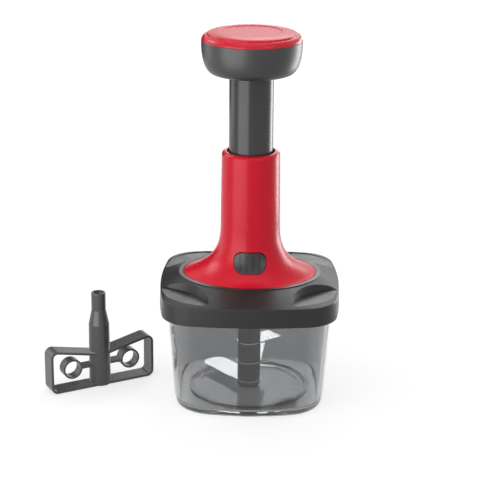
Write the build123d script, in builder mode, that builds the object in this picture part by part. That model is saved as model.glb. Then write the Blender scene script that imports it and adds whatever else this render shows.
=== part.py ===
from build123d import *
from math import cos, radians, sin, sqrt, tan
import os

# A hand-press food chopper. Pushing the knob drives a nut down a twisted steel strip,
# which turns the strip, its hexagonal dog and the blades in the bowl.
# Units are millimetres. The origin is the centre of the bowl's underside, +Z is up and the
# front, with the lock button, faces -Y.

os.makedirs("parts", exist_ok=True)

# ---------------------------------------------------------------- driving dimensions

# Clearances
running_gap = 0.08        # round bearing fits, on the radius
sliding_gap = 0.4         # loose guides and covers that lift off
seat_gap = 0.3            # rest position of a moving piece above its seat
hex_gap = 0.15            # each flat of the drive hexagon
screw_gap = 0.05          # screws in their holes, on the radius
sink_angle = 90.0         # countersunk screw heads
blind_end = 1.0           # material past the end of a screw hole
cut_margin = 1.0          # how far a cutter runs past the face that it opens

# Lid outline: half its width at mid-side, radius of the bowed sides, radius of the corners
lid_half = 64.5
lid_bow = 280.0
lid_corner = 24.0

# Bowl
bowl_height = 81.0
bowl_wall = 2.4
bowl_base_half = 55.0
bowl_base_bow = 140.0
bowl_base_corner = 28.0
bowl_base_fillet = 3.5
bowl_bead_out = 1.3       # bead round the rim, outwards
bowl_bead_height = 2.5
floor_thick = 3.6
cavity_fillet = 3.0
well_radius = 37.2        # round well in the middle of the floor
well_depth = 1.0
ridge_width = 2.0         # two ring ridges round the well
ridge_height = 1.0
outer_ridge_radius = 42.5
boss_radius = 7.2         # boss that carries the pin
boss_height = 2.0
pin_radius = 2.5
pin_height = 10.0         # above the boss
pin_root = 3.4            # in the boss
foot_inner = 40.0
foot_outer = 46.0
foot_thick = 1.2

# Blade stack
shaft_radius = 8.4
shaft_drop = 5.0          # shaft's top below the bowl's rim
shaft_chamfer = 0.8
core_flats = 10.0         # hexagonal core that the blades sit on, across its flats
blade_levels = (7.4, 22.0, 37.5)
blade_thick = 1.0
blade_ring_out = 0.4      # how far a blade's ring stands out of the shaft
blade_reach = 46.5
blade_bend_start = 23.0
blade_lead_corner = 5.0
blade_trail_corner = 8.0
blade_bevel_width = 2.4
blade_bevel_depth = 0.7
blade_angles = (128.0, 84.0, 39.0)
blade_bends = (0.0, 10.0, -23.0)
dog_flats = 7.0
dog_chamfer = 0.5
socket_depth = 10.0

# Lid
skirt_wall = 2.4
skirt_drop = 9.0          # skirt below the bowl's rim
skirt_flare = 0.4         # how far the skirt's foot stands out
skirt_ledge = 1.6         # ledge over the under-plate's edge
seal_thick = 1.4
plate_thick = 1.6
plug_wall = 1.8
plug_depth = 4.0
edge_cover = 1.5          # lid's edge above the under-plate
edge_round = 0.9
lid_skin = 2.8            # thickness of the sloping top, measured upright
crest_width = 3.5         # flat ring round the foot of the column
crest_bead = 0.5          # how far the ring stands above the slope
scoop_turn = 41.0         # direction of a finger scoop, from the X axis
scoop_inner = 51.5        # from the axis to the inner end of a scoop's floor
scoop_inner_radius = 44.0
scoop_outer = 71.5        # from the axis to the outer end of the floor
scoop_outer_radius = 35.0
scoop_corner = 4.0
scoop_dip = 3.2           # tilt of the floor, down towards the middle
scoop_draft = 15.0
scoop_skin = 1.2
hub_hole = 11.5           # hole in the under-plate round the drive hub

# Column, from its seat on the lid. Its oval foot flares out from a round sleeve
foot_half_width = 47.9
foot_half_depth = 38.6
rim_thick = 2.4
shelf_thick = 2.4
column_height = 92.4
flare_height = 41.4       # where the flare runs out into the sleeve
flare_radius = 21.3
flare_sections = 9        # ovals that the flare is drawn through
flare_crowd = 1.6         # crowds them towards the rim
flare_start = 0.85        # below 1, the flare leaves its rim at a flatter angle
flare_power = 3.0         # how soon it has come in to the sleeve
sleeve_top_radius = 20.7
sleeve_wall = 2.6
mouth_radius = 17.2
lip_thick = 3.0
lip_round = 2.8
boss_inset = 5.0          # column screws, in from the foot's half depth
column_boss_radius = 3.4
column_screws = 4
screw_radius = 1.45
screw_head = 2.9
screw_length = 8.4

# Bearing plate and return spring
bearing_lift = 0.8        # above the under-plate
bearing_thick = 2.4
bearing_edge = 5.0        # round the screws
bearing_hub = 13.5
bearing_hub_height = 7.2
spring_lip = 1.5
wire_radius = 0.7
spring_radius = 11.8
spring_turns = 5

# Drive
strip_width = 8.0
strip_thick = 1.6
strip_lead = 25.0         # height of one whole turn
strip_tail = 7.0          # straight end, in the hub
strip_spare = 13.0        # above the nut
nut_thick = 2.5
nut_gap = 0.15
hub_radius = 6.0
hub_neck = 4.7            # hub above the flange
hub_flange = 9.0
hub_flange_thick = 1.5
hub_stub = 3.6            # hub below the bearing plate
washer_thick = 0.8
clip_thick = 0.8
clip_radius = 8.4
clip_mouth = 6.0
clip_groove = 0.9

# Plunger
stroke = 50.0
tube_radius = 15.65
tube_wall = 2.0
bush_height = 10.0
collar_height = 14.7
collar_web = 2.4
collar_hole = 9.5
groove_low = 4.2          # lock groove, above the foot of the collar
groove_high = 8.4
groove_depth = 1.7
nut_screw_circle = 11.5
nut_screw_radius = 1.0
nut_screw_head = 1.8
nut_screw_length = 3.9

# Knob
knob_clear = 5.8          # knob above the sleeve when pushed down
knob_height = 23.4
knob_radius = 35.4
knob_flat = 10.6          # flat underside round the tube
# points of the knob's side from the flat to the rim, as shares of the way out and of the way up
knob_shares = ((0.43, 0.09), (0.59, 0.20), (0.75, 0.41), (0.88, 0.68))
knob_wall = 2.6
knob_socket = 8.4
knob_hub = 18.6
knob_web = 2.5
cap_inset = 0.2           # cap's edge inside the knob's rim
cap_thick = 2.2
cap_disc_radius = 31.4
cap_disc_rise = 4.4       # edge of the raised disc
cap_disc_step = 0.6
cap_dish_radius = 19.6
cap_rise = 5.9
cap_dish_depth = 0.7
cap_plug_wall = 1.6
cap_plug_depth = 3.6
tube_boss_radius = 5.0
tube_boss_depth = 8.0
knob_screw_radius = 1.9
knob_screw_head = 4.2
knob_screw_head_height = 2.6
knob_screw_length = 9.5   # in the tube

# Lock button
button_width = 22.6
button_height = 13.4
button_corner = 6.2
button_gap = 0.35
button_proud = 0.9
button_travel = 2.6
button_flange = 1.8       # flange beyond the window, at its sides and foot
button_flange_thick = 1.4
button_flange_height = 11.0
tongue_width = 6.0
tongue_thick = 2.6
button_drop = 4.2         # middle of the button below its tongue
grip_grooves = 4
grip_pitch = 4.4
grip_length = 11.0
grip_width = 1.3
grip_depth = 0.8

# Whisk, which stands beside the bowl
whisk_x = -111.0
whisk_y = 7.0
whisk_turn = 29.0
whisk_height = 71.5
whisk_neck_radius = 5.3
whisk_neck_length = 13.5
whisk_cone_length = 11.0
whisk_cone_radius = 7.6
whisk_foot_radius = 8.0
whisk_round = 0.8
wing_reach = 41.0
wing_low = 25.0           # height of a wing at the shaft
wing_high = 34.0          # height of a wing at its outer end
wing_band = 13.0
wing_wall = 1.8
wing_corner = 5.0
ring_centre = 23.0
ring_height = 16.0
ring_outer = 7.5
ring_wall = 1.4
ring_band = 8.0
spoke_thick = 2.0

# ---------------------------------------------------------------- heights worked out from these

shaft_top = bowl_height - shaft_drop
seal_z = bowl_height
plate_z = seal_z + seal_thick
plate_top = plate_z + plate_thick
edge_z = plate_top + edge_cover
skirt_z = bowl_height - skirt_drop
bearing_z = plate_top + bearing_lift
shelf_z = bearing_z + bearing_thick
seat_z = shelf_z + shelf_thick
rim_z = seat_z + rim_thick
crest_z = rim_z
scoop_z = plate_top + scoop_skin
boss_circle = foot_half_depth - boss_inset

flare_top = seat_z + flare_height
bore_radius = flare_radius - sleeve_wall
sleeve_top = seat_z + column_height
bush_top = sleeve_top - lip_thick
bush_z = bush_top - bush_height
collar_z = bush_z - seat_gap - collar_height
collar_radius = bore_radius - sliding_gap
nut_z = collar_z + collar_web
nut_top = nut_z + nut_thick
bearing_top = bearing_z + bearing_hub_height
flange_z = bearing_top + washer_thick
hub_top = flange_z + hub_flange_thick + hub_neck
hub_z = bearing_z - hub_stub
strip_z = hub_top
strip_top = nut_top + strip_spare
knob_z = sleeve_top + stroke + knob_clear
tube_top = knob_z + knob_socket
cap_z = knob_z + knob_height
web_top = tube_top + knob_web
shaft_z = floor_thick - well_depth + boss_height + seat_gap
tongue_z = collar_z - stroke + (groove_low + groove_high) / 2
button_z = tongue_z - button_drop


# ---------------------------------------------------------------- shared outlines


def bowed_square(half, bow, corner):
    """Square with sides bowed out to the radius `bow` and corners rounded to `corner`."""
    centre = bow - half
    tip = (sqrt(2 * bow**2 - centre**2) - centre) / 2
    with BuildSketch() as outline:
        with BuildLine():
            ThreePointArc((-tip, -tip), (0, -half), (tip, -tip))
            ThreePointArc((tip, -tip), (half, 0), (tip, tip))
            ThreePointArc((tip, tip), (0, half), (-tip, tip))
            ThreePointArc((-tip, tip), (-half, 0), (-tip, -tip))
        make_face()
        fillet(outline.vertices(), corner)
    return outline.sketch


def lid_outline(inset):
    """Outline that runs `inset` inside the lid's edge."""
    return bowed_square(lid_half - inset, lid_bow - inset, lid_corner - inset)


def base_outline(inset):
    """Outline that runs `inset` inside the bowl's foot."""
    return bowed_square(bowl_base_half - inset, bowl_base_bow - inset, bowl_base_corner - inset)


bead_inset = skirt_wall + sliding_gap
rim_inset = bead_inset + bowl_bead_out
plug_inset = rim_inset + bowl_wall + 2 * sliding_gap


def side_curve(start, end, shares, start_way, end_way):
    """Smooth side from `start` to `end`, through points that are shares of the way between."""
    across = end[0] - start[0]
    up = end[1] - start[1]
    points = [(start[0] + along * across, start[1] + rise * up) for along, rise in shares]
    return Spline(start, *points, end, tangents=(start_way, end_way))


def foot_outline(inset):
    """Oval outline of the column's foot, moved in by `inset`."""
    with BuildSketch() as outline:
        Ellipse(foot_half_width - inset, foot_half_depth - inset)
    return outline.sketch


def flare_body(inset, drop):
    """Solid that fills the flare, moved in by `inset` and down at the rim by `drop`."""
    with BuildPart() as body:
        for section in range(flare_sections):
            rise = (section / (flare_sections - 1)) ** flare_crowd
            along = 1 - (1 - rise**flare_start) ** flare_power
            height = rim_z - drop + rise * (flare_top - rim_z + drop)
            with BuildSketch(Plane.XY.offset(height)):
                Ellipse(
                    foot_half_width - inset - along * (foot_half_width - flare_radius),
                    foot_half_depth - inset - along * (foot_half_depth - flare_radius),
                )
        loft()
    return body.part


# ---------------------------------------------------------------- bowl

with BuildPart() as bowl_cavity:
    with BuildSketch():
        add(base_outline(bowl_wall))
    with BuildSketch(Plane.XY.offset(bowl_height)):
        add(lid_outline(rim_inset + bowl_wall))
    loft(ruled=True)
    split(bisect_by=Plane.XY.offset(floor_thick), keep=Keep.TOP)
    fillet(bowl_cavity.edges().group_by(Axis.Z)[0], cavity_fillet)

with BuildPart() as bowl:
    with BuildSketch():
        add(base_outline(0))
    with BuildSketch(Plane.XY.offset(bowl_height)):
        add(lid_outline(rim_inset))
    loft(ruled=True)
    fillet(bowl.edges().group_by(Axis.Z)[0], bowl_base_fillet)
    with BuildSketch(Plane.XY.offset(bowl_height - bowl_bead_height)):
        add(lid_outline(bead_inset))
    extrude(amount=bowl_bead_height)
    add(bowl_cavity.part, mode=Mode.SUBTRACT)
    with BuildSketch(Plane.XY.offset(floor_thick)):
        Circle(well_radius)
    extrude(amount=-well_depth, mode=Mode.SUBTRACT)
    with BuildSketch(Plane.XY.offset(floor_thick)):
        for radius in (well_radius, outer_ridge_radius):
            Circle(radius + ridge_width)
            Circle(radius, mode=Mode.SUBTRACT)
    extrude(amount=ridge_height)
    with BuildSketch(Plane.XY.offset(floor_thick - well_depth)):
        Circle(boss_radius)
    extrude(amount=boss_height)
    with BuildSketch(Plane.XY.offset(floor_thick - well_depth + boss_height)):
        Circle(pin_radius)
    extrude(amount=-pin_root, mode=Mode.SUBTRACT)
    with BuildSketch():
        Circle(foot_outer)
        Circle(foot_inner, mode=Mode.SUBTRACT)
    extrude(amount=foot_thick, mode=Mode.SUBTRACT)
bowl.part.label = "bowl"

pin_z = floor_thick - well_depth + boss_height
with BuildPart() as bowl_pin:
    with BuildSketch(Plane.XY.offset(pin_z - pin_root)):
        Circle(pin_radius)
    extrude(amount=pin_root + pin_height)
    fillet(bowl_pin.edges().group_by(Axis.Z)[-1], pin_radius / 2)
bowl_pin.part.label = "bowl_pin"

with BuildPart() as foot_ring:
    with BuildSketch():
        Circle(foot_outer)
        Circle(foot_inner, mode=Mode.SUBTRACT)
    extrude(amount=foot_thick)
foot_ring.part.label = "foot_ring"

export_step(bowl.part, "parts/bowl.step")
export_step(bowl_pin.part, "parts/bowl_pin.step")
export_step(foot_ring.part, "parts/foot_ring.step")

# ---------------------------------------------------------------- blade stack

pin_bore = pin_radius + running_gap
core_inner = core_flats / 2
shaft_head_z = blade_levels[-1] + blade_thick

with BuildPart() as blade_shaft:
    with BuildSketch(Plane.XY.offset(shaft_z)):
        RegularPolygon(core_inner, 6, major_radius=False)
    extrude(amount=shaft_head_z - shaft_z)
    with BuildSketch(Plane.XY.offset(shaft_head_z)):
        Circle(shaft_radius)
    extrude(amount=shaft_top - shaft_head_z)
    chamfer(blade_shaft.edges().group_by(Axis.Z)[-1], shaft_chamfer)
    with BuildSketch(Plane.XY.offset(shaft_top)):
        RegularPolygon(dog_flats / 2 + hex_gap, 6, major_radius=False)
    extrude(amount=-socket_depth, mode=Mode.SUBTRACT)
    with BuildSketch(Plane.XY.offset(shaft_z)):
        Circle(pin_bore)
    extrude(amount=pin_height, mode=Mode.SUBTRACT)
blade_shaft.part.label = "blade_shaft"
export_step(blade_shaft.part, "parts/blade_shaft.step")

spacer_floors = (shaft_z, blade_levels[0] + blade_thick, blade_levels[1] + blade_thick)
spacer_names = ("spacer_bottom", "spacer_middle", "spacer_top")
for name, floor, roof in zip(spacer_names, spacer_floors, blade_levels):
    with BuildPart() as spacer:
        with BuildSketch(Plane.XY.offset(floor)):
            Circle(shaft_radius)
            RegularPolygon(core_inner, 6, major_radius=False, mode=Mode.SUBTRACT)
        extrude(amount=roof - floor)
    spacer.part.label = name
    export_step(spacer.part, f"parts/{name}.step")

blade_names = ("blade_bottom", "blade_middle", "blade_top")
ring_radius = shaft_radius + blade_ring_out
run = blade_reach - blade_bend_start
for name, level, angle, bend in zip(blade_names, blade_levels, blade_angles, blade_bends):
    slope = radians(bend)
    fold = blade_thick * tan(slope / 2)
    roof = level + blade_thick
    tip_x = blade_bend_start + run * cos(slope)
    tip_z = level + run * sin(slope)
    with BuildPart() as bevel:
        # ground edge along the leading side, which follows the fold
        with BuildLine(Plane.XZ) as crest:
            Polyline(
                (ring_radius + blade_bevel_width, roof),
                (blade_bend_start - fold, roof),
                (tip_x + run * cos(slope), tip_z + run * sin(slope) + blade_thick),
            )
        with BuildSketch(Plane(origin=crest.line @ 0, x_dir=(0, 1, 0), z_dir=crest.line % 0)):
            with BuildLine():
                Polyline(
                    (ring_radius - blade_bevel_width, 0),
                    (ring_radius + blade_bevel_width, 2 * blade_bevel_depth),
                    (ring_radius + blade_bevel_width, -2 * blade_bevel_depth),
                    close=True,
                )
            make_face()
        sweep(transition=Transition.RIGHT)
    with BuildPart() as blade:
        # side view: flat root, then the tip folded up or down
        with BuildSketch(Plane.XZ):
            with BuildLine():
                Polyline(
                    (-ring_radius, level),
                    (blade_bend_start, level),
                    (tip_x, tip_z),
                    (tip_x - blade_thick * sin(slope), tip_z + blade_thick * cos(slope)),
                    (blade_bend_start - fold, roof),
                    (-ring_radius, roof),
                    close=True,
                )
            make_face()
        extrude(amount=2 * ring_radius, both=True)
        # plan view: a ring round the core and one wing with a rounded tip
        with BuildSketch(Plane.XY.offset(level - run)) as plan:
            with Locations((blade_reach / 2, 0)):
                Rectangle(blade_reach, 2 * ring_radius)
            fillet(plan.vertices().group_by(Axis.X)[-1].sort_by(Axis.Y)[0], blade_trail_corner)
            fillet(plan.vertices().group_by(Axis.X)[-1].sort_by(Axis.Y)[-1], blade_lead_corner)
            Circle(ring_radius)
            RegularPolygon(
                core_inner, 6, major_radius=False, rotation=-angle, mode=Mode.SUBTRACT
            )
        extrude(amount=2 * run + blade_thick, mode=Mode.INTERSECT)
        add(bevel.part, mode=Mode.SUBTRACT)
    placed = blade.part.rotate(Axis.Z, angle)
    placed.label = name
    export_step(placed, f"parts/{name}.step")


# ---------------------------------------------------------------- lid

scoop_depth = crest_z - scoop_z + cut_margin
dip = radians(scoop_dip)


def screw_places(radius):
    """Places of the column screws on a circle of this radius."""
    return PolarLocations(radius, column_screws, start_angle=45)


with BuildPart() as scoop:
    # leaf-shaped floor between an inner and an outer arc
    floor = Plane(
        origin=(scoop_inner, 0, scoop_z), x_dir=(cos(dip), 0, sin(dip)), z_dir=(-sin(dip), 0, cos(dip))
    )
    with BuildSketch(floor) as leaf:
        with Locations((scoop_inner_radius, 0)):
            Circle(scoop_inner_radius)
        with Locations((scoop_outer - scoop_inner - scoop_outer_radius, 0)):
            Circle(scoop_outer_radius, mode=Mode.INTERSECT)
        fillet(leaf.vertices(), scoop_corner)
    extrude(amount=scoop_depth, taper=-scoop_draft)

with BuildPart() as lid_cavity:
    # room for the bowl's rim and the under-plate
    with BuildSketch(Plane.XY.offset(skirt_z)):
        add(lid_outline(skirt_wall))
    extrude(amount=plate_top - skirt_z)
    # hollow under the sloping top
    with BuildSketch(Plane.XY.offset(plate_top)):
        add(lid_outline(skirt_wall + skirt_ledge))
    with BuildSketch(Plane.XY.offset(crest_z - lid_skin)):
        add(foot_outline(-crest_width))
    loft(ruled=True)
    # the lid stays solid under the scoops
    with BuildSketch(Plane.XY.offset(plate_top)):
        for turn in (scoop_turn, 180 - scoop_turn, 180 + scoop_turn, -scoop_turn):
            with PolarLocations(scoop_inner + scoop_inner_radius, 1, start_angle=turn):
                Circle(scoop_inner_radius + scoop_skin)
    extrude(amount=scoop_depth, taper=-scoop_draft, mode=Mode.SUBTRACT)

with BuildPart() as lid:
    with BuildSketch(Plane.XY.offset(skirt_z)):
        add(lid_outline(-skirt_flare))
    with BuildSketch(Plane.XY.offset(edge_z)):
        add(lid_outline(0))
    loft(ruled=True)
    with BuildSketch(Plane.XY.offset(edge_z)):
        add(lid_outline(0))
    with BuildSketch(Plane.XY.offset(crest_z - crest_bead)):
        add(foot_outline(-crest_width))
    loft(ruled=True)
    # groups upwards: foot of the skirt, its corners, then the edge round the top
    fillet(lid.edges().group_by(Axis.Z)[2], edge_round)
    with BuildSketch(Plane.XY.offset(crest_z - crest_bead)):
        add(foot_outline(-crest_width))
    extrude(amount=crest_bead)
    add(lid_cavity.part, mode=Mode.SUBTRACT)
    # ledge that carries the column
    with BuildSketch(Plane.XY.offset(shelf_z)):
        add(foot_outline(-crest_width))
    extrude(amount=crest_z - shelf_z - lid_skin / 2)
    with BuildSketch(Plane.XY.offset(seat_z)):
        add(foot_outline(-sliding_gap))
    extrude(amount=crest_z - seat_z, mode=Mode.SUBTRACT)
    with BuildSketch(Plane.XY.offset(shelf_z)):
        Circle(boss_circle - bearing_edge)
        with screw_places(boss_circle):
            Circle(screw_radius + screw_gap)
    extrude(amount=shelf_thick, mode=Mode.SUBTRACT)
    for turn in (scoop_turn, 180 - scoop_turn, 180 + scoop_turn, -scoop_turn):
        add(scoop.part.rotate(Axis.Z, turn), mode=Mode.SUBTRACT)
lid.part.label = "lid"
export_step(lid.part, "parts/lid.step")

with BuildPart() as lid_plate:
    with BuildSketch(Plane.XY.offset(plate_z)):
        add(lid_outline(skirt_wall))
    extrude(amount=plate_thick)
    with BuildSketch(Plane.XY.offset(plate_z)):
        add(lid_outline(plug_inset))
        add(lid_outline(plug_inset + plug_wall), mode=Mode.SUBTRACT)
    extrude(amount=-(seal_thick + plug_depth))
    with BuildSketch(Plane.XY.offset(plate_z)):
        Circle(hub_hole)
    extrude(amount=plate_thick, mode=Mode.SUBTRACT)
lid_plate.part.label = "lid_plate"
export_step(lid_plate.part, "parts/lid_plate.step")

with BuildPart() as lid_seal:
    with BuildSketch(Plane.XY.offset(seal_z)):
        add(lid_outline(bead_inset))
        add(lid_outline(plug_inset), mode=Mode.SUBTRACT)
    extrude(amount=seal_thick)
lid_seal.part.label = "lid_seal"
export_step(lid_seal.part, "parts/lid_seal.step")

# ---------------------------------------------------------------- column

with BuildPart() as column_bosses:
    # posts that run up into the flare
    with BuildSketch(Plane.XY.offset(seat_z)):
        with screw_places(boss_circle):
            Circle(column_boss_radius)
    extrude(amount=flare_height)
    add(flare_body(sleeve_wall / 2, rim_thick), mode=Mode.INTERSECT)

with BuildPart() as column:
    with BuildSketch(Plane.XY.offset(seat_z)):
        add(foot_outline(0))
    extrude(amount=rim_thick)
    add(flare_body(0, 0))
    with BuildSketch(Plane.XY.offset(flare_top)):
        Circle(flare_radius)
    with BuildSketch(Plane.XY.offset(sleeve_top)):
        Circle(sleeve_top_radius)
    loft()
    fillet(column.edges().group_by(Axis.Z)[-1], lip_round)
    add(flare_body(sleeve_wall, rim_thick), mode=Mode.SUBTRACT)
    with BuildSketch(Plane.XY.offset(flare_top)):
        Circle(bore_radius)
    extrude(amount=bush_top - flare_top, mode=Mode.SUBTRACT)
    with BuildSketch(Plane.XY.offset(bush_top)):
        Circle(mouth_radius)
    extrude(amount=lip_thick, mode=Mode.SUBTRACT)
    add(column_bosses.part)
    with BuildSketch(Plane.XY.offset(seat_z)):
        with screw_places(boss_circle):
            Circle(screw_radius + screw_gap)
    extrude(amount=bearing_z + screw_length + blind_end - seat_z, mode=Mode.SUBTRACT)
    # window of the lock button
    with BuildSketch(Plane.XZ):
        with Locations((0, button_z)):
            RectangleRounded(
                button_width + 2 * button_gap, button_height + 2 * button_gap, button_corner
            )
    extrude(amount=foot_half_depth, mode=Mode.SUBTRACT)
column.part.label = "column"
export_step(column.part, "parts/column.step")

with BuildPart() as guide_bush:
    with BuildSketch(Plane.XY.offset(bush_z)):
        Circle(bore_radius)
        Circle(tube_radius + running_gap, mode=Mode.SUBTRACT)
    extrude(amount=bush_height)
guide_bush.part.label = "guide_bush"
export_step(guide_bush.part, "parts/guide_bush.step")


def cone_depth(head, shank):
    """Depth of a countersunk head's cone."""
    return (head - screw_gap - shank) / tan(radians(sink_angle / 2))


with BuildPart() as bearing_plate:
    with BuildSketch(Plane.XY.offset(bearing_z)):
        Circle(boss_circle + bearing_edge)
    extrude(amount=bearing_thick)
    with BuildSketch(Plane.XY.offset(bearing_z)):
        Circle(bearing_hub)
    extrude(amount=bearing_hub_height)
    # lip that centres the foot of the spring
    with BuildSketch(Plane.XY.offset(bearing_top)):
        Circle(spring_radius - wire_radius - sliding_gap)
        Circle(hub_flange + sliding_gap, mode=Mode.SUBTRACT)
    extrude(amount=spring_lip)
    with BuildSketch(Plane.XY.offset(bearing_z)):
        Circle(hub_radius + running_gap)
    extrude(amount=bearing_hub_height, mode=Mode.SUBTRACT)
    with Locations(Plane(origin=(0, 0, bearing_z), z_dir=(0, 0, -1))):
        with screw_places(boss_circle):
            CounterSinkHole(
                screw_radius + screw_gap, screw_head, counter_sink_angle=sink_angle
            )
bearing_plate.part.label = "bearing_plate"
export_step(bearing_plate.part, "parts/bearing_plate.step")

for number, place in enumerate(screw_places(boss_circle), start=1):
    spot = place.position
    with BuildPart() as column_screw:
        with BuildSketch(Plane(origin=(spot.X, spot.Y, bearing_z))):
            Circle(screw_radius)
        extrude(amount=screw_length)
        with BuildSketch(Plane(origin=(spot.X, spot.Y, bearing_z))):
            Circle(screw_head - screw_gap)
        extrude(amount=cone_depth(screw_head, screw_radius), taper=sink_angle / 2)
    column_screw.part.label = f"column_screw_{number}"
    export_step(column_screw.part, f"parts/column_screw_{number}.step")

# ---------------------------------------------------------------- drive


def twisted_strip(gap, floor, roof):
    """Strip that turns once every `strip_lead` of height, thickened all round by `gap`.

    Its section lies along X at the height `strip_z`."""
    start = 360 * (floor - strip_z) / strip_lead
    with BuildSketch() as section:
        Rectangle(strip_width + 2 * gap, strip_thick + 2 * gap, rotation=start)
    return Solid.extrude_linear_with_rotation(
        section.sketch.faces()[0].moved(Location((0, 0, floor))),
        (0, 0, floor),
        (0, 0, roof - floor),
        360 * (roof - floor) / strip_lead,
    )


with BuildPart() as drive_strip:
    with BuildSketch(Plane.XY.offset(strip_z - strip_tail)):
        Rectangle(strip_width, strip_thick)
    extrude(amount=strip_tail)
    add(twisted_strip(0, strip_z, strip_top))
drive_strip.part.label = "drive_strip"
export_step(drive_strip.part, "parts/drive_strip.step")

clip_z = bearing_z - running_gap - clip_thick
with BuildPart() as drive_hub:
    with BuildSketch(Plane.XZ):
        with BuildLine():
            Polyline(
                (0, hub_z),
                (hub_radius, hub_z),
                (hub_radius, clip_z),
                (hub_radius - clip_groove, clip_z),
                (hub_radius - clip_groove, clip_z + clip_thick),
                (hub_radius, clip_z + clip_thick),
                (hub_radius, flange_z),
                (hub_flange, flange_z),
                (hub_flange, flange_z + hub_flange_thick),
                (hub_radius, flange_z + hub_flange_thick),
                (hub_radius, hub_top),
                (0, hub_top),
                close=True,
            )
        make_face()
    revolve(axis=Axis.Z)
    # dog that enters the socket of the blade shaft
    with BuildSketch(Plane.XY.offset(hub_z)):
        RegularPolygon(dog_flats / 2, 6, major_radius=False)
    extrude(amount=-(hub_z - shaft_top + socket_depth - 2 * seat_gap))
    chamfer(drive_hub.faces().sort_by(Axis.Z)[0].edges(), dog_chamfer)
    with BuildSketch(Plane.XY.offset(hub_top)):
        Rectangle(strip_width, strip_thick)
    extrude(amount=-strip_tail, mode=Mode.SUBTRACT)
drive_hub.part.label = "drive_hub"
export_step(drive_hub.part, "parts/drive_hub.step")

with BuildPart() as thrust_washer:
    with BuildSketch(Plane.XY.offset(bearing_top)):
        Circle(hub_flange)
        Circle(hub_radius + running_gap, mode=Mode.SUBTRACT)
    extrude(amount=washer_thick)
thrust_washer.part.label = "thrust_washer"
export_step(thrust_washer.part, "parts/thrust_washer.step")

with BuildPart() as retaining_clip:
    with BuildSketch(Plane.XY.offset(clip_z)):
        Circle(clip_radius)
        Circle(hub_radius - clip_groove, mode=Mode.SUBTRACT)
        # mouth of the clip
        with Locations((clip_radius, 0)):
            Rectangle(clip_radius, clip_mouth, mode=Mode.SUBTRACT)
    extrude(amount=clip_thick)
retaining_clip.part.label = "retaining_clip"
export_step(retaining_clip.part, "parts/retaining_clip.step")

spring_foot = bearing_top + wire_radius
spring_head = collar_z - wire_radius
with BuildPart() as return_spring:
    with BuildLine() as coil:
        Helix((spring_head - spring_foot) / spring_turns, spring_head - spring_foot, spring_radius)
    with BuildSketch(Plane(origin=coil.line @ 0, z_dir=coil.line % 0)):
        RegularPolygon(wire_radius, 6)
    sweep(is_frenet=True)
return_spring.part.position = (0, 0, spring_foot)
return_spring.part.label = "return_spring"
export_step(return_spring.part, "parts/return_spring.step")

# ---------------------------------------------------------------- plunger


def nut_screw_places():
    """Places of the two screws that hold the nut on the collar."""
    return PolarLocations(nut_screw_circle, 2, start_angle=45)


with BuildPart() as plunger_tube:
    with BuildSketch(Plane.XY.offset(nut_z)):
        Circle(tube_radius)
    extrude(amount=tube_top - nut_z)
    with BuildSketch(Plane.XY.offset(nut_z)):
        Circle(tube_radius - tube_wall)
    extrude(amount=tube_top - knob_web - nut_z, mode=Mode.SUBTRACT)
    with BuildSketch(Plane.XY.offset(tube_top - knob_web)):
        Circle(tube_boss_radius)
    extrude(amount=-tube_boss_depth)
    with BuildSketch(Plane.XY.offset(tube_top)):
        Circle(knob_screw_radius + screw_gap)
    extrude(amount=-knob_screw_length, mode=Mode.SUBTRACT)
plunger_tube.part.label = "plunger_tube"
export_step(plunger_tube.part, "parts/plunger_tube.step")

with BuildPart() as plunger_collar:
    with BuildSketch(Plane.XY.offset(collar_z)):
        Circle(collar_radius)
        Circle(collar_hole, mode=Mode.SUBTRACT)
    extrude(amount=collar_web)
    with BuildSketch(Plane.XY.offset(nut_z)):
        Circle(collar_radius)
        Circle(tube_radius, mode=Mode.SUBTRACT)
    extrude(amount=collar_height - collar_web)
    # groove that the lock button enters when the plunger is down
    with BuildSketch(Plane.XY.offset(collar_z + groove_low)):
        Circle(collar_radius)
        Circle(collar_radius - groove_depth, mode=Mode.SUBTRACT)
    extrude(amount=groove_high - groove_low, mode=Mode.SUBTRACT)
    with BuildSketch(Plane.XY.offset(nut_z)):
        with nut_screw_places():
            Circle(nut_screw_radius + screw_gap)
    extrude(amount=nut_thick - nut_screw_length, mode=Mode.SUBTRACT)
plunger_collar.part.label = "plunger_collar"
export_step(plunger_collar.part, "parts/plunger_collar.step")

with BuildPart() as drive_nut:
    with BuildSketch(Plane.XY.offset(nut_z)):
        Circle(tube_radius - tube_wall)
    extrude(amount=nut_thick)
    add(twisted_strip(nut_gap, nut_z - cut_margin, nut_top + cut_margin), mode=Mode.SUBTRACT)
    with Locations((0, 0, nut_top)):
        with nut_screw_places():
            CounterSinkHole(
                nut_screw_radius + screw_gap, nut_screw_head, counter_sink_angle=sink_angle
            )
drive_nut.part.label = "drive_nut"
export_step(drive_nut.part, "parts/drive_nut.step")

for number, place in enumerate(nut_screw_places(), start=1):
    spot = place.position
    with BuildPart() as nut_screw:
        with BuildSketch(Plane(origin=(spot.X, spot.Y, nut_top))):
            Circle(nut_screw_radius)
        extrude(amount=-nut_screw_length)
        with BuildSketch(Plane(origin=(spot.X, spot.Y, nut_top))):
            Circle(nut_screw_head - screw_gap)
        extrude(amount=-cone_depth(nut_screw_head, nut_screw_radius), taper=sink_angle / 2)
    nut_screw.part.label = f"nut_screw_{number}"
    export_step(nut_screw.part, f"parts/nut_screw_{number}.step")

# ---------------------------------------------------------------- knob


def knob_curve(start, end):
    """Side of the knob from its flat underside to its rim."""
    return side_curve(start, end, knob_shares, (1, 0.1), (0.02, 1))


knob_bore = knob_radius - knob_wall

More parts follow.
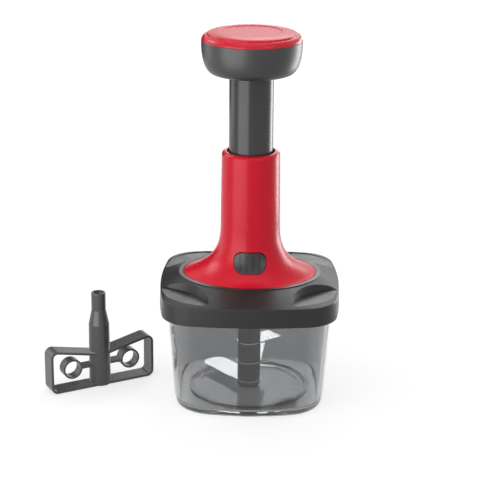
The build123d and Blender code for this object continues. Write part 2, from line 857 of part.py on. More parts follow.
with BuildPart() as knob_body:
    with BuildSketch(Plane.XZ):
        with BuildLine():
            outside = knob_curve((tube_radius + knob_flat, knob_z), (knob_radius, cap_z))
            inside = knob_curve(
                (tube_radius + knob_flat - knob_wall, knob_z + knob_wall), (knob_bore, cap_z)
            )
            Line(outside @ 1, inside @ 1)
            # socket for the tube, closed by a web that the screw goes through
            Polyline(
                inside @ 0,
                (knob_hub, knob_z + knob_wall),
                (knob_hub, web_top),
                (knob_screw_radius + screw_gap, web_top),
                (knob_screw_radius + screw_gap, tube_top),
                (tube_radius, tube_top),
                (tube_radius, knob_z),
                outside @ 0,
            )
        make_face()
    revolve(axis=Axis.Z)
knob_body.part.label = "knob_body"
export_step(knob_body.part, "parts/knob_body.step")

plug_radius = knob_bore - sliding_gap
cap_edge = knob_radius - cap_inset
cap_crown = cap_z + cap_rise
cap_disc_z = cap_z + cap_disc_rise
cap_inner_z = cap_disc_z - cap_thick

with BuildPart() as knob_cap:
    with BuildSketch(Plane.XZ):
        with BuildLine():
            # dished disc, a step, then the rounded edge
            Spline(
                (0, cap_crown - cap_dish_depth),
                (cap_dish_radius, cap_crown),
                tangents=((1, 0), (1, 0.05)),
            )
            Spline(
                (cap_dish_radius, cap_crown),
                (cap_disc_radius, cap_disc_z),
                tangents=((1, 0.05), (1, -0.25)),
            )
            Line((cap_disc_radius, cap_disc_z), (cap_disc_radius, cap_disc_z - cap_disc_step))
            Spline(
                (cap_disc_radius, cap_disc_z - cap_disc_step),
                (cap_edge, cap_z),
                tangents=((1, -0.25), (0, -1)),
            )
            Polyline(
                (cap_edge, cap_z),
                (plug_radius, cap_z),
                (plug_radius, cap_z - cap_plug_depth),
                (plug_radius - cap_plug_wall, cap_z - cap_plug_depth),
                (plug_radius - cap_plug_wall, cap_inner_z),
                (0, cap_inner_z),
                (0, cap_crown - cap_dish_depth),
            )
        make_face()
    revolve(axis=Axis.Z)
knob_cap.part.label = "knob_cap"
export_step(knob_cap.part, "parts/knob_cap.step")

with BuildPart() as knob_screw:
    with BuildSketch(Plane.XY.offset(web_top)):
        Circle(knob_screw_head)
    extrude(amount=knob_screw_head_height)
    fillet(knob_screw.edges().group_by(Axis.Z)[-1], knob_screw_head_height / 2)
    with BuildSketch(Plane.XY.offset(web_top)):
        Circle(knob_screw_radius)
    extrude(amount=-(knob_web + knob_screw_length - seat_gap))
knob_screw.part.label = "knob_screw"
export_step(knob_screw.part, "parts/knob_screw.step")

# ---------------------------------------------------------------- lock button

flange_inset = sleeve_wall + seat_gap
button_inner = flange_inset + button_flange_thick
window_width = button_width + 2 * button_gap
window_height = button_height + 2 * button_gap
# pressed, the button's back stays clear of the collar, and its tongue is in the groove
button_back = collar_radius + sliding_gap + button_travel
tongue_tip = button_back - groove_depth

with BuildPart() as button_skin:
    add(flare_body(-button_proud, 0))
    add(flare_body(button_inner, rim_thick), mode=Mode.SUBTRACT)

with BuildPart() as button_flange_skin:
    add(flare_body(flange_inset, rim_thick))
    add(flare_body(button_inner, rim_thick), mode=Mode.SUBTRACT)
    with BuildSketch(Plane.XZ.offset(bore_radius - cut_margin)):
        with Locations((0, button_z - window_height / 2 - button_flange)):
            Rectangle(
                window_width + 2 * button_flange,
                button_flange_height,
                align=(Align.CENTER, Align.MIN),
            )
    extrude(amount=foot_half_depth, mode=Mode.INTERSECT)

with BuildPart() as grips:
    with BuildSketch(Plane.XZ.offset(bore_radius)):
        with Locations((0, button_z)):
            with GridLocations(grip_pitch, 0, grip_grooves, 1):
                SlotOverall(grip_length, grip_width, rotation=90)
    extrude(amount=foot_half_depth)
    add(flare_body(grip_depth - button_proud, 0), mode=Mode.SUBTRACT)

with BuildPart() as tongue:
    with BuildSketch(Plane.XZ.offset(tongue_tip)):
        with Locations((0, tongue_z)):
            Rectangle(tongue_width, tongue_thick)
    extrude(amount=foot_half_depth)
    add(flare_body(0, 0), mode=Mode.INTERSECT)

with BuildPart() as lock_button:
    with BuildSketch(Plane.XZ.offset(bore_radius - cut_margin)):
        with Locations((0, button_z)):
            RectangleRounded(button_width, button_height, button_corner)
    extrude(amount=foot_half_depth)
    add(button_skin.part, mode=Mode.INTERSECT)
    add(button_flange_skin.part)
    add(grips.part, mode=Mode.SUBTRACT)
    with BuildSketch(Plane.XY.offset(rim_z)):
        Circle(button_back)
    extrude(amount=column_height, mode=Mode.SUBTRACT)
    add(tongue.part)
lock_button.part.label = "lock_button"
export_step(lock_button.part, "parts/lock_button.step")

# ---------------------------------------------------------------- whisk

turn_x = cos(radians(whisk_turn))
turn_y = sin(radians(whisk_turn))
whisk_base = Plane(origin=(whisk_x, whisk_y, 0), x_dir=(turn_x, turn_y, 0))
wing_plane = Plane(
    origin=(whisk_x, whisk_y, 0), x_dir=(turn_x, turn_y, 0), z_dir=(turn_y, -turn_x, 0)
)
neck_z = whisk_height - whisk_neck_length
cone_z = neck_z - whisk_cone_length

with BuildPart() as whisk_shaft:
    with BuildSketch(wing_plane):
        with BuildLine():
            Polyline(
                (0, 0),
                (whisk_foot_radius, 0),
                (whisk_cone_radius, cone_z),
                (whisk_neck_radius, neck_z),
                (whisk_neck_radius, whisk_height),
                (0, whisk_height),
                close=True,
            )
        make_face()
    revolve(axis=Axis((whisk_x, whisk_y, 0), (0, 0, 1)))
    fillet(whisk_shaft.edges().group_by(Axis.Z)[-1], whisk_round)
    with BuildSketch(whisk_base.offset(whisk_height)):
        RegularPolygon(dog_flats / 2 + hex_gap, 6, major_radius=False)
    extrude(amount=-socket_depth, mode=Mode.SUBTRACT)
    with BuildSketch(whisk_base):
        Circle(pin_bore)
    extrude(amount=pin_height, mode=Mode.SUBTRACT)
whisk_shaft.part.label = "whisk_shaft"
export_step(whisk_shaft.part, "parts/whisk_shaft.step")

for side, name in ((1, "right"), (-1, "left")):
    with BuildPart() as wing:
        # band that runs out along the table, up and back to the shaft
        with BuildSketch(wing_plane) as loop:
            with BuildLine():
                Polyline(
                    (0, 0),
                    (side * wing_reach, 0),
                    (side * wing_reach, wing_high),
                    (0, wing_low),
                    close=True,
                )
            make_face()
            fillet(loop.vertices().sort_by(Axis.X)[::side][-2:], wing_corner)
            offset(amount=-wing_wall, kind=Kind.INTERSECTION, mode=Mode.SUBTRACT)
        extrude(amount=wing_band / 2, both=True)
        add(whisk_shaft.part, mode=Mode.SUBTRACT)
        with BuildSketch(whisk_base):
            Circle(pin_bore)
        extrude(amount=wing_low, mode=Mode.SUBTRACT)
    wing.part.label = f"whisk_wing_{name}"
    export_step(wing.part, f"parts/whisk_wing_{name}.step")
    with BuildPart() as ring:
        # small ring inside the wing, on a spoke from the shaft
        with BuildSketch(wing_plane):
            with Locations((side * ring_centre, ring_height)):
                Circle(ring_outer)
            with Locations((side * ring_centre / 2, ring_height)):
                Rectangle(ring_centre, spoke_thick)
            with Locations((side * ring_centre, ring_height)):
                Circle(ring_outer - ring_wall, mode=Mode.SUBTRACT)
        extrude(amount=ring_band / 2, both=True)
        add(whisk_shaft.part, mode=Mode.SUBTRACT)
    ring.part.label = f"whisk_ring_{name}"
    export_step(ring.part, f"parts/whisk_ring_{name}.step")
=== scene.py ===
from math import cos, pi, radians, sin, tau

import bmesh
import bpy
from mathutils import Matrix, Vector


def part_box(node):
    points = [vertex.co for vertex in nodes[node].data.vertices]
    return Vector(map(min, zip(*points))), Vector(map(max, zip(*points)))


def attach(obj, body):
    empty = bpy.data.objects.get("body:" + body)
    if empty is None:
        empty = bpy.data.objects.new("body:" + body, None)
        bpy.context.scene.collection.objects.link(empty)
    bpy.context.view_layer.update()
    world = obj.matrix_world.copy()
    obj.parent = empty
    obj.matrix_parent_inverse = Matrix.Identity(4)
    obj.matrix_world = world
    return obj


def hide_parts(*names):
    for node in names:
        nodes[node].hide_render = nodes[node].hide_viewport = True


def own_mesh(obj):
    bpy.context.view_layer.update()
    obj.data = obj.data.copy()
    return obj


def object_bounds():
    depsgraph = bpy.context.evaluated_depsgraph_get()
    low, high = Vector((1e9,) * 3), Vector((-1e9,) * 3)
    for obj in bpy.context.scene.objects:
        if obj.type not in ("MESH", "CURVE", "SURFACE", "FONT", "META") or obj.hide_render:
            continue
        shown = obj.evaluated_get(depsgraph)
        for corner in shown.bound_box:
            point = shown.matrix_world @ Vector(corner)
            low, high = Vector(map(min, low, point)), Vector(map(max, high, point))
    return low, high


# A hand-press food chopper with its whisk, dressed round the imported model. Metres, +Z up.

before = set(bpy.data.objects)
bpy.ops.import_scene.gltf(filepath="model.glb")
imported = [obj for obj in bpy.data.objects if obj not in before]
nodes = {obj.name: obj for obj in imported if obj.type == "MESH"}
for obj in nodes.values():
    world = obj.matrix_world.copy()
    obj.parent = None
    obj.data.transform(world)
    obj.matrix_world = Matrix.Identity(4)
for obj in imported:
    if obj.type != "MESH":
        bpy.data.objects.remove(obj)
cad_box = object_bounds()
scene = bpy.context.scene

# ---------------------------------------------------------------- camera

CAMERA_PLACE = (0.0, -1.0869, 0.4738)
CAMERA_PITCH = 0.325      # radians below the horizon
CAMERA_ROLL = 0.0102      # radians, the column leans a little to the right
PIXELS_WIDE = 500
FOCAL_PIXELS = 1588.1
SENSOR_WIDTH = 36.0


def add_camera():
    """Camera at the photograph's viewing angle."""
    data = bpy.data.cameras.new("camera")
    data.sensor_width = SENSOR_WIDTH
    data.lens = FOCAL_PIXELS / PIXELS_WIDE * SENSOR_WIDTH
    data.dof.use_dof = False
    camera = bpy.data.objects.new("camera", data)
    scene.collection.objects.link(camera)
    camera.matrix_world = (
        Matrix.Translation(CAMERA_PLACE)
        @ Matrix.Rotation(pi / 2 - CAMERA_PITCH, 4, "X")
        @ Matrix.Rotation(CAMERA_ROLL, 4, "Z")
    )
    scene.camera = camera


# ---------------------------------------------------------------- node helpers


class Nodes:
    """Short way to add shader nodes to one material or world."""

    def __init__(self, tree):
        self.tree = tree
        tree.nodes.clear()

    def add(self, kind, **settings):
        """New node; an entry is a property, or an input set to a number or linked to a socket."""
        node = self.tree.nodes.new(kind)
        for key, value in settings.items():
            name = key.replace("_", " ")
            if name in node.inputs:
                self.feed(node.inputs[name], value)
            else:
                setattr(node, key, value)
        return node

    def feed(self, socket, value):
        """Sets a socket, or links it."""
        if isinstance(value, bpy.types.NodeSocket):
            self.tree.links.new(value, socket)
        else:
            socket.default_value = value

    def place(self, stretch=(1, 1, 1)):
        """Point in the object's own metres, stretched."""
        point = self.add("ShaderNodeTexCoord").outputs["Object"]
        return self.add("ShaderNodeMapping", Vector=point, Scale=stretch).outputs["Vector"]

    def noise(self, scale, detail=3.0, stretch=(1, 1, 1)):
        """Noise in the object's own metres."""
        texture = self.add(
            "ShaderNodeTexNoise", Vector=self.place(stretch), Scale=scale, Detail=detail
        )
        return texture.outputs["Fac"]

    def spread(self, value, low, high, start=0.3, end=0.7):
        """Maps a 0 to 1 pattern to the range from low to high."""
        node = self.add("ShaderNodeMapRange", Value=value)
        for name, number in zip(("From Min", "From Max", "To Min", "To Max"), (start, end, low, high)):
            self.feed(node.inputs[name], number)
        return node.outputs["Result"]

    def blend(self, share, first, second):
        """Colour between two colours."""
        node = self.add("ShaderNodeMix", data_type="RGBA")
        for number, value in zip((0, 6, 7), (share, first, second)):
            self.feed(node.inputs[number], value)
        return node.outputs[2]

    def math(self, operation, first, second):
        """Result of one sum."""
        node = self.add("ShaderNodeMath", operation=operation)
        self.feed(node.inputs[0], first)
        self.feed(node.inputs[1], second)
        return node.outputs[0]

    def shown(self):
        """1 for camera, glossy and transmission rays, else 0."""
        path = self.add("ShaderNodeLightPath").outputs
        seen = self.math("MAXIMUM", path["Is Camera Ray"], path["Is Glossy Ray"])
        return self.math("MAXIMUM", seen, path["Is Transmission Ray"])

    def finish(self, surface, volume=None):
        """Joins the shaders to the output."""
        end = self.add("ShaderNodeOutputMaterial", Surface=surface)
        if volume:
            self.feed(end.inputs["Volume"], volume)


def new_material(name):
    """Empty material and its node maker."""
    material = bpy.data.materials.new(name)
    material.use_nodes = True
    return material, Nodes(material.node_tree)


def shade(colour, factor):
    """RGBA of a colour made lighter or darker."""
    return tuple(min(1.0, part * factor) for part in colour) + (1.0,)


def moulded(name, colour, rough, grain=0.05, grain_size=2200.0, level=0.5, mottle=0.06, soft=0.0):
    """Moulded plastic: fine grain, faint mottling and handling marks in its gloss."""
    material, make = new_material(name)
    cloud = make.noise(38.0, 4.0)
    tone = make.blend(make.spread(cloud, 0.0, 1.0), shade(colour, 1 - mottle), shade(colour, 1 + mottle))
    smear = make.noise(95.0, 5.0, (1.0, 1.0, 0.35))
    gloss = make.spread(smear, rough * 0.88, rough * 1.14)
    fine = make.noise(grain_size, 2.0)
    bump = make.add("ShaderNodeBump", Height=fine, Strength=grain, Distance=0.0002)
    shader = make.add(
        "ShaderNodeBsdfPrincipled", Base_Color=tone, Roughness=gloss, Normal=bump.outputs["Normal"]
    )
    shader.inputs["Specular IOR Level"].default_value = level
    if soft:
        shader.inputs["Subsurface Weight"].default_value = soft
        shader.inputs["Subsurface Scale"].default_value = 0.003
    make.finish(shader.outputs["BSDF"])
    return material


SAN_INDEX = 1.49          # the bowl's plastic
SILICONE_INDEX = 1.41
EDGE_START = 0.25         # facing at which an upright wall starts to take its painted edge highlight
EDGE_END = 0.9


def clear_plastic(name, colour, density, edge):
    """Clear plastic with a tint, faint flow waves and wipe marks; edge is a lighter colour painted on
    upright walls seen edge-on, a painted edge highlight.
    """
    material, make = new_material(name)
    flow = make.noise(14.0, 2.0, (1.0, 1.0, 0.3))
    bump = make.add("ShaderNodeBump", Height=flow, Strength=0.012, Distance=0.002)
    wiped = make.noise(160.0, 6.0, (1.0, 1.0, 4.0))
    gloss = make.spread(wiped, 0.0, 0.04, 0.35, 0.75)
    tone = make.blend(make.spread(flow, 0.0, 1.0), shade(colour, 0.97), shade(colour, 1.03))
    # upright walls are painted lighter as they turn edge-on: a painted edge highlight
    facing = make.add("ShaderNodeLayerWeight").outputs["Facing"]
    normal = make.add("ShaderNodeNewGeometry").outputs["Normal"]
    level = make.math("ABSOLUTE", make.add("ShaderNodeSeparateXYZ", Vector=normal).outputs["Z"], 0.0)
    upright = make.math("SUBTRACT", 1.0, level)
    share = make.math("MULTIPLY", make.spread(facing, 0.0, 1.0, EDGE_START, EDGE_END), upright)
    tone = make.blend(share, tone, edge)
    shader = make.add(
        "ShaderNodeBsdfPrincipled", Base_Color=tone, Roughness=gloss, Normal=bump.outputs["Normal"]
    )
    shader.inputs["Transmission Weight"].default_value = 1.0
    shader.inputs["IOR"].default_value = SAN_INDEX
    dye = make.add("ShaderNodeVolumeAbsorption")
    dye.inputs["Color"].default_value = (0.0, 0.0, 0.0, 1.0)
    dye.inputs["Density"].default_value = density
    make.finish(shader.outputs["BSDF"], dye.outputs["Volume"])
    return material


def metal(name, colour, rough, stretch=(1, 1, 1), scratch=0.04):
    """Steel with brushing lines, uneven gloss and faint stains."""
    material, make = new_material(name)
    lines = make.noise(900.0, 3.0, stretch)
    cloud = make.noise(60.0, 4.0)
    tone = make.blend(make.spread(cloud, 0.0, 1.0), shade(colour, 0.94), shade(colour, 1.05))
    gloss = make.spread(lines, rough * 0.7, rough * 1.4)
    bump = make.add("ShaderNodeBump", Height=lines, Strength=scratch, Distance=0.0002)
    shader = make.add(
        "ShaderNodeBsdfPrincipled", Base_Color=tone, Roughness=gloss, Normal=bump.outputs["Normal"]
    )
    shader.inputs["Metallic"].default_value = 1.0
    make.finish(shader.outputs["BSDF"])
    return material


# ---------------------------------------------------------------- materials

RED = (0.61, 0.004, 0.021)
CHARCOAL = (0.022, 0.021, 0.0215)
SMOKE = (0.385, 0.39, 0.395)
SMOKE_EDGE_HIGHLIGHT = (0.85, 0.85, 0.86, 1)      # painted highlight on upright walls seen edge-on
SMOKE_DENSITY = 8.0       # per metre of wall


def dress():
    """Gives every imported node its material, and returns those that new pieces share."""
    red = moulded("red_plastic", RED, 0.25, level=0.2)
    cap_red = moulded("cap_red", RED, 0.26, grain=0.015, level=0.3)
    lid_grey = moulded("lid_grey", shade(CHARCOAL, 0.85)[:3], 0.36, grain=0.10, level=0.3)
    knob_grey = moulded("knob_grey", shade(CHARCOAL, 1.8)[:3], 0.34, grain=0.08, level=0.4)
    tube_grey = moulded("tube_grey", shade(CHARCOAL, 2.0)[:3], 0.2, level=0.3)
    button_grey = moulded("button_grey", CHARCOAL, 0.32, level=0.4)
    shaft_grey = moulded("shaft_grey", (0.25, 0.25, 0.255), 0.16)
    whisk_grey = moulded("whisk_grey", shade(CHARCOAL, 3.0)[:3], 0.28, grain=0.08, level=0.45)
    black_nylon = moulded("black_nylon", (0.012, 0.012, 0.012), 0.42)
    white_nylon = moulded("white_nylon", (0.74, 0.73, 0.70), 0.45)
    silicone = moulded("silicone", (0.45, 0.46, 0.47), 0.55, grain=0.15, soft=0.3)
    bowl_clear = clear_plastic("bowl_clear", SMOKE, SMOKE_DENSITY, SMOKE_EDGE_HIGHLIGHT)
    blade_steel = metal("blade_steel", (0.93, 0.93, 0.94), 0.14)
    drive_steel = metal("drive_steel", (0.62, 0.62, 0.63), 0.28)
    wanted = {
        red: ("column",),
        cap_red: ("knob_cap",),
        lid_grey: ("lid", "lid_plate"),
        knob_grey: ("knob_body",),
        tube_grey: ("plunger_tube",),
        button_grey: ("lock_button",),
        shaft_grey: ("blade_shaft", "spacer_bottom", "spacer_middle", "spacer_top"),
        whisk_grey: (
            "whisk_shaft", "whisk_wing_left", "whisk_wing_right", "whisk_ring_left", "whisk_ring_right"
        ),
        black_nylon: ("guide_bush",),
        white_nylon: ("bearing_plate", "drive_hub", "plunger_collar", "drive_nut"),
        silicone: ("lid_seal",),
        bowl_clear: ("bowl",),
        blade_steel: ("blade_bottom", "blade_middle", "blade_top"),
    }
    for material, names in wanted.items():
        for name in names:
            paint(nodes[name], material)
    dressed = {name for names in wanted.values() for name in names}
    for name in sorted(set(nodes) - dressed):
        paint(nodes[name], drive_steel)
    # light passes the clear bowl to what it holds
    nodes["bowl"].visible_shadow = False
    # and the bowl's wall doesn't mirror the whisk beside it
    for name in wanted[whisk_grey]:
        nodes[name].visible_glossy = False
    return {"steel": drive_steel, "knob": knob_grey, "cap": cap_red}


def paint(piece, material):
    """Puts one material on the whole piece."""
    piece.data.materials.clear()
    piece.data.materials.append(material)


# ---------------------------------------------------------------- new pieces

SHARP_ANGLE = radians(32)
LATHE_STEPS = 160


def place_piece(mesh, name, material, node, body):
    """Turns a bmesh into a piece that stands for a node."""
    bmesh.ops.recalc_face_normals(mesh, faces=mesh.faces)
    for face in mesh.faces:
        face.smooth = True
    data = bpy.data.meshes.new(name)
    mesh.to_mesh(data)
    mesh.free()
    data.set_sharp_from_angle(angle=SHARP_ANGLE)
    piece = bpy.data.objects.new(name, data)
    scene.collection.objects.link(piece)
    paint(piece, material)
    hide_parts(node)
    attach(piece, body)
    return piece


def lathe(profile):
    """Bmesh of a closed profile, (radius, height) points, turned round the Z axis."""
    mesh = bmesh.new()
    columns = []
    for radius, height in profile:
        if radius == 0:
            columns.append([mesh.verts.new((0, 0, height))] * LATHE_STEPS)
            continue
        turns = [tau * step / LATHE_STEPS for step in range(LATHE_STEPS)]
        columns.append([mesh.verts.new((radius * cos(turn), radius * sin(turn), height)) for turn in turns])
    for first, second in zip(columns, columns[1:] + columns[:1]):
        for step in range(LATHE_STEPS):
            after = (step + 1) % LATHE_STEPS
            corners = []
            for corner in (first[step], second[step], second[after], first[after]):
                if corner not in corners:
                    corners.append(corner)
            if len(corners) > 2:
                mesh.faces.new(corners)
    return mesh


def quarter(start, end, steps=16, full=1.0):
    """Quarter of an oval that leaves start level and reaches end upright; full under 1 swells it."""
    points = []
    for step in range(steps + 1):
        turn = pi / 2 * step / steps
        out, up = sin(turn) ** full, 1 - max(0.0, cos(turn)) ** full
        points.append((start[0] + (end[0] - start[0]) * out, start[1] + (end[1] - start[1]) * up))
    return points


def swell(start, end, steps=10):
    """Curve that is level at both ends."""
    points = []
    for step in range(steps + 1):
        share = step / steps
        rise = share * share * (3 - 2 * share)
        points.append((start[0] + (end[0] - start[0]) * share, start[1] + (end[1] - start[1]) * rise))
    return points


KNOB_FLAT = 0.02625       # outer radius of the flat underside
KNOB_WALL = 0.0026
KNOB_FULL = 0.88          # swell of its side beyond a plain oval
KNOB_HUB = 0.0186
KNOB_SOCKET = 0.0084      # depth of the socket for the tube
KNOB_WEB = 0.0025
TUBE_RADIUS = 0.01565
SCREW_HOLE = 0.00195
EDGE_BREAK = 0.0003       # rounding of a moulded edge


def add_knob(material):
    """Knob with one smooth, swelling side from its flat underside to its rim."""
    low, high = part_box("knob_body")
    foot, rim, radius = low[2], high[2], high[0]
    socket = foot + KNOB_SOCKET
    profile = quarter((KNOB_FLAT, foot), (radius, rim - EDGE_BREAK), 30, KNOB_FULL)
    profile += [(radius - EDGE_BREAK, rim), (radius - KNOB_WALL, rim)]
    inside = quarter((KNOB_FLAT - KNOB_WALL, foot + KNOB_WALL), (radius - KNOB_WALL, rim), 16, KNOB_FULL)
    profile += inside[-2::-1]
    profile += [
        (KNOB_HUB, foot + KNOB_WALL),
        (KNOB_HUB, socket + KNOB_WEB),
        (SCREW_HOLE, socket + KNOB_WEB),
        (SCREW_HOLE, socket),
        (TUBE_RADIUS, socket),
        (TUBE_RADIUS, foot + EDGE_BREAK),
        (TUBE_RADIUS + EDGE_BREAK, foot),
    ]
    place_piece(lathe(profile), "knob_shell", material, "knob_body", "plunger")


CAP_DISC = 0.0314         # raised disc, its edge, and the dish in it
CAP_DISC_DOWN = 0.0015    # disc's edge below the crown
CAP_STEP = 0.0006
CAP_DISH = 0.0216
CAP_DISH_LIP = 0.0011
CAP_DISH_DEPTH = 0.0007
CAP_PLUG = 0.0324
CAP_PLUG_WALL = 0.0016
CAP_ROOF = 0.0037         # underside of the disc below the crown
CAP_RISE = 0.0059         # crown above the knob's rim


def add_cap(material):
    """Cap with a dished disc, a fine step round it and a rounded edge."""
    low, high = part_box("knob_cap")
    crown, foot, radius = high[2], low[2], high[0]
    rim = crown - CAP_RISE
    inside = CAP_DISH - CAP_DISH_LIP
    profile = swell((0, crown - CAP_DISH_DEPTH), (inside, crown - 0.8 * CAP_DISH_DEPTH), 8)
    profile += swell((inside, crown - 0.8 * CAP_DISH_DEPTH), (CAP_DISH, crown), 8)[1:]
    profile += quarter((CAP_DISH, crown), (CAP_DISC, crown - CAP_DISC_DOWN), 12)[1:]
    profile += quarter((CAP_DISC, crown - CAP_DISC_DOWN - CAP_STEP), (radius, rim), 14)
    profile += [
        (CAP_PLUG, rim),
        (CAP_PLUG, foot),
        (CAP_PLUG - CAP_PLUG_WALL, foot),
        (CAP_PLUG - CAP_PLUG_WALL, crown - CAP_ROOF),
        (0, crown - CAP_ROOF),
    ]
    place_piece(lathe(profile), "knob_cap_disc", material, "knob_cap", "plunger")


INNER_SHARE = 0.040 / 0.046     # foot ring's inner radius over its outer radius
RIB_PITCH = 0.0024
RIB_STEPS = 36
RIB_CLEAR = 0.00005       # ribs below the roof of the groove
WEB_LOW = 0.0004
WEB_HIGH = 0.0008


def add_foot_ring():
    """Silicone ring with three round ribs, in its groove under the bowl."""
    low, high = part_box("foot_ring")
    inner = INNER_SHARE * high[0]
    width = high[0] - inner
    middle = inner + width / 2
    over, under = [], []
    for step in range(RIB_STEPS + 1):
        radius = inner + width * step / RIB_STEPS
        rib = cos(pi * (radius - middle) / RIB_PITCH) ** 2
        over.append((radius, low[2] + WEB_HIGH + rib * (high[2] - low[2] - RIB_CLEAR - WEB_HIGH)))
        under.append((radius, low[2] + WEB_LOW * (1 - rib)))
    material = ribbed_silicone_groove_shade(middle)
    place_piece(lathe(over + under[::-1]), "foot_ring_ribbed", material, "foot_ring", "bowl")


def ribbed_silicone_groove_shade(middle):
    """Clear silicone on the crests of the ribs round the middle radius, painted near black between them:
    painted shade in the grooves.
    """
    material, make = new_material("foot_silicone_groove_shade")
    radius = make.add("ShaderNodeVectorMath", operation="LENGTH")
    make.feed(radius.inputs[0], make.place((1, 1, 0)))
    turns = make.math("MULTIPLY", make.math("SUBTRACT", radius.outputs["Value"], middle), tau / RIB_PITCH)
    crest = make.spread(make.math("COSINE", turns, 0.0), 0.0, 1.0, -0.2, 0.3)
    # the grooves between the ribs are painted near black, painted shade
    tone = make.blend(crest, (0.01, 0.01, 0.01, 1), (0.95, 0.95, 0.95, 1))
    gloss = make.spread(make.noise(300.0, 4.0), 0.35, 0.5)
    bump = make.add("ShaderNodeBump", Height=make.noise(1800.0, 2.0), Strength=0.1, Distance=0.0002)
    shader = make.add(
        "ShaderNodeBsdfPrincipled", Base_Color=tone, Roughness=gloss, Normal=bump.outputs["Normal"]
    )
    make.feed(shader.inputs["Transmission Weight"], crest)
    shader.inputs["IOR"].default_value = SILICONE_INDEX
    make.finish(shader.outputs["BSDF"])
    return material


SPRING_RADIUS = 0.0118
WIRE_RADIUS = 0.0007
SPRING_TURNS = 6.4
SPRING_FLAT = 0.11        # share of the coil that lies flat at each end
TURN_STEPS = 36
WIRE_SIDES = 12


def add_spring(material):
    """Round-wire coil with closed ends, in place of the solid's open six-sided wire."""
    low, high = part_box("return_spring")
    foot = low[2] + WIRE_RADIUS
    length = high[2] - low[2]
    mesh = bmesh.new()
    steps = round(SPRING_TURNS * TURN_STEPS)
    rings = []
    for step in range(steps + 1):
        share = step / steps
        climb = min(1.0, max(0.0, (share - SPRING_FLAT) / (1 - 2 * SPRING_FLAT)))
        turn = tau * SPRING_TURNS * share
        out = Vector((cos(turn), sin(turn), 0))
        middle = out * SPRING_RADIUS + Vector((0, 0, foot + (length - 2 * WIRE_RADIUS) * climb))
        ring = []
        for side in range(WIRE_SIDES):
            way = tau * side / WIRE_SIDES
            ring.append(mesh.verts.new(middle + WIRE_RADIUS * (out * cos(way) + Vector((0, 0, sin(way))))))
        rings.append(ring)
    for first, second in zip(rings, rings[1:]):
        for side in range(WIRE_SIDES):
            after = (side + 1) % WIRE_SIDES
            mesh.faces.new((first[side], first[after], second[after], second[side]))
    mesh.faces.new(rings[0][::-1])
    mesh.faces.new(rings[-1])
    spring = place_piece(mesh, "return_spring_wire", material, "return_spring", "lid")
    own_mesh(spring)


# ---------------------------------------------------------------- lights and surroundings


def panel(name, place, target, width, height, strength, seen_by=("diffuse", "glossy")):
    """Soft rectangular light that the camera doesn't see; strength is its radiance."""
    data = bpy.data.lights.new(name, "AREA")
    data.shape = "RECTANGLE"
    data.size = width
    data.size_y = height
    data.energy = strength * width * height * pi
    light = bpy.data.objects.new(name, data)
    scene.collection.objects.link(light)
    way = Vector(target) - Vector(place)
    light.matrix_world = Matrix.Translation(place) @ way.to_track_quat("-Z", "Y").to_matrix().to_4x4()
    light.visible_camera = False
    for kind in ("diffuse", "glossy", "transmission"):
        setattr(light, "visible_" + kind, kind in seen_by)


def around(turn, distance, height):
    """Place at a turn in degrees clockwise from the camera's side, seen from above."""
    return (-sin(radians(turn)) * distance, -cos(radians(turn)) * distance, height)


def add_lights():
    """Plain studio light: soft boxes all round and above, and sheen boxes seen only as gloss."""
    aim_low, aim_middle, aim_high = (0, 0, 0.1), (0, 0, 0.16), (0, 0, 0.25)
    sheen = ("glossy",)
    panel("front_left", around(42, 0.55, 0.25), aim_high, 0.62, 0.5, 1.4)
    panel("front_left_sheen", around(42, 0.35, 0.15), aim_middle, 0.36, 0.3, 2.6, sheen)
    panel("high_left", around(115, 0.90, 0.75), aim_low, 0.5, 0.4, 1.5)
    panel("high_left_sheen", around(115, 0.92, 0.76), aim_low, 0.5, 0.4, 3.0, sheen)
    panel("left_sheen", around(110, 0.6, 0.17), aim_middle, 0.25, 0.26, 1.0, sheen)
    panel("near_right", around(-122, 0.42, 0.16), aim_middle, 0.235, 0.32, 0.7)
    panel("near_right_sheen", around(-128, 0.43, 0.16), aim_middle, 0.15, 0.32, 6.5, sheen)
    panel("low_right_sheen", around(-112, 0.43, 0.07), aim_low, 0.11, 0.08, 1.2, sheen)
    panel("low_back", (0.025, 0.33, 0.225), (0.02, 0, 0.13), 0.17, 0.075, 3.0)
    panel("right_back_sheen", around(-145, 0.6, 0.31), (0, 0, 0.13), 0.24, 0.12, 3.5, sheen)
    panel("back", (0.2, 1.2, 1.0), aim_middle, 0.6, 0.7, 2.0)
    panel("high_back_sheen", (0.25, 1.15, 1.25), aim_middle, 0.4, 0.24, 1.5, sheen)
    panel("front_right_sheen", around(-39, 0.8, 0.59), aim_low, 0.3, 0.3, 2.0, sheen)
    panel("top", (0.0, -0.3, 1.3), aim_low, 1.0, 1.0, 0.8)
    # seen only through the bowl, it lights up the blades
    panel("blade_glow", (0.0, 1.5, 0.8), (0, 0, 0.05), 1.6, 1.0, 6.0, ("transmission",))


FLAG_PLACE = (-0.40, 0.68, 0.25)
FLAG_WIDTH = 0.50
FLAG_HEIGHT = 0.46


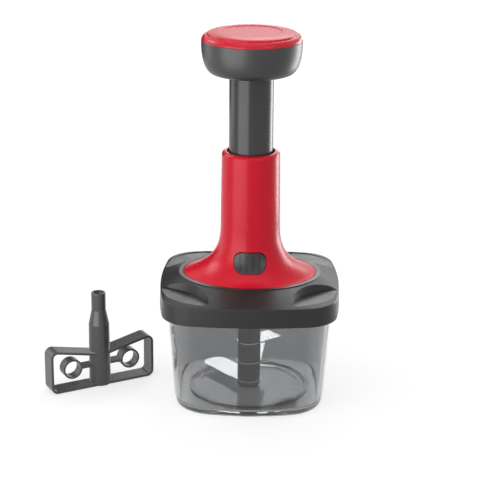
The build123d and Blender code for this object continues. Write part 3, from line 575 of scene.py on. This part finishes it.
def add_flag():
    """Dark studio flag, seen only in reflections, that shades the lid's left slope."""
    mesh = bmesh.new()
    bmesh.ops.create_grid(mesh, x_segments=1, y_segments=1, size=0.5)
    data = bpy.data.meshes.new("flag")
    mesh.to_mesh(data)
    mesh.free()
    flag = bpy.data.objects.new("flag", data)
    scene.collection.objects.link(flag)
    flag.scale = (FLAG_WIDTH, FLAG_HEIGHT, 1)
    flag.location = FLAG_PLACE
    way = Vector((0, 0, FLAG_PLACE[2])) - Vector(FLAG_PLACE)
    flag.rotation_euler = way.to_track_quat("Z", "Y").to_euler()
    for kind in ("camera", "diffuse", "transmission", "volume_scatter", "shadow"):
        setattr(flag, "visible_" + kind, False)
    material, make = new_material("flag")
    weave = make.spread(make.noise(30.0), 0.0, 1.0)
    tone = make.blend(weave, shade(CHARCOAL, 0.8), shade(CHARCOAL, 1.2))
    shader = make.add("ShaderNodeBsdfDiffuse", Color=tone)
    make.finish(shader.outputs["BSDF"])
    paint(flag, material)


WORLD_LIGHT = 0.68


def add_world(strength):
    """White surroundings that camera, glossy and transmitted rays see at 1."""
    world = bpy.data.worlds.new("studio")
    world.use_nodes = True
    scene.world = world
    make = Nodes(world.node_tree)
    level = make.spread(make.shown(), strength, 1.0, 0.0, 1.0)
    back = make.add("ShaderNodeBackground", Color=(1, 1, 1, 1), Strength=level)
    make.add("ShaderNodeOutputWorld", Surface=back.outputs["Background"])


FLOOR_SIZE = 12.0
FLOOR_GAP = 0.0002        # floor below the object
FLOOR_NEAR = 0.3          # from here outwards the floor's own light grows
FLOOR_FAR = 2.0
FLOOR_GLOW_NEAR = 0.56
FLOOR_GLOW_FAR = 0.82


def add_floor():
    """White floor that keeps the object's shadow."""
    bpy.ops.mesh.primitive_plane_add(size=FLOOR_SIZE, location=(0, 0, cad_box[0][2] - FLOOR_GAP))
    floor = bpy.context.object
    floor.name = "floor"
    material, make = new_material("floor")
    cloud = make.noise(3.0)
    tone = make.blend(make.spread(cloud, 0.0, 1.0), (0.47, 0.47, 0.47, 1), (0.49, 0.49, 0.49, 1))
    shader = make.add("ShaderNodeBsdfPrincipled", Base_Color=tone, Roughness=0.9)
    shader.inputs["Specular IOR Level"].default_value = 0.0
    shader.inputs["Emission Color"].default_value = (1, 1, 1, 1)
    away = make.add("ShaderNodeVectorMath", operation="LENGTH")
    make.feed(away.inputs[0], make.place())
    glow = make.spread(away.outputs["Value"], FLOOR_GLOW_NEAR, FLOOR_GLOW_FAR, FLOOR_NEAR, FLOOR_FAR)
    make.feed(shader.inputs["Emission Strength"], make.math("MULTIPLY", glow, make.shown()))
    make.finish(shader.outputs["BSDF"])
    paint(floor, material)


# ---------------------------------------------------------------- build

scene.view_settings.view_transform = "Standard"
add_camera()
shared = dress()
add_knob(shared["knob"])
add_cap(shared["cap"])
add_foot_ring()
add_spring(shared["steel"])
add_lights()
add_flag()
add_world(WORLD_LIGHT)
add_floor()
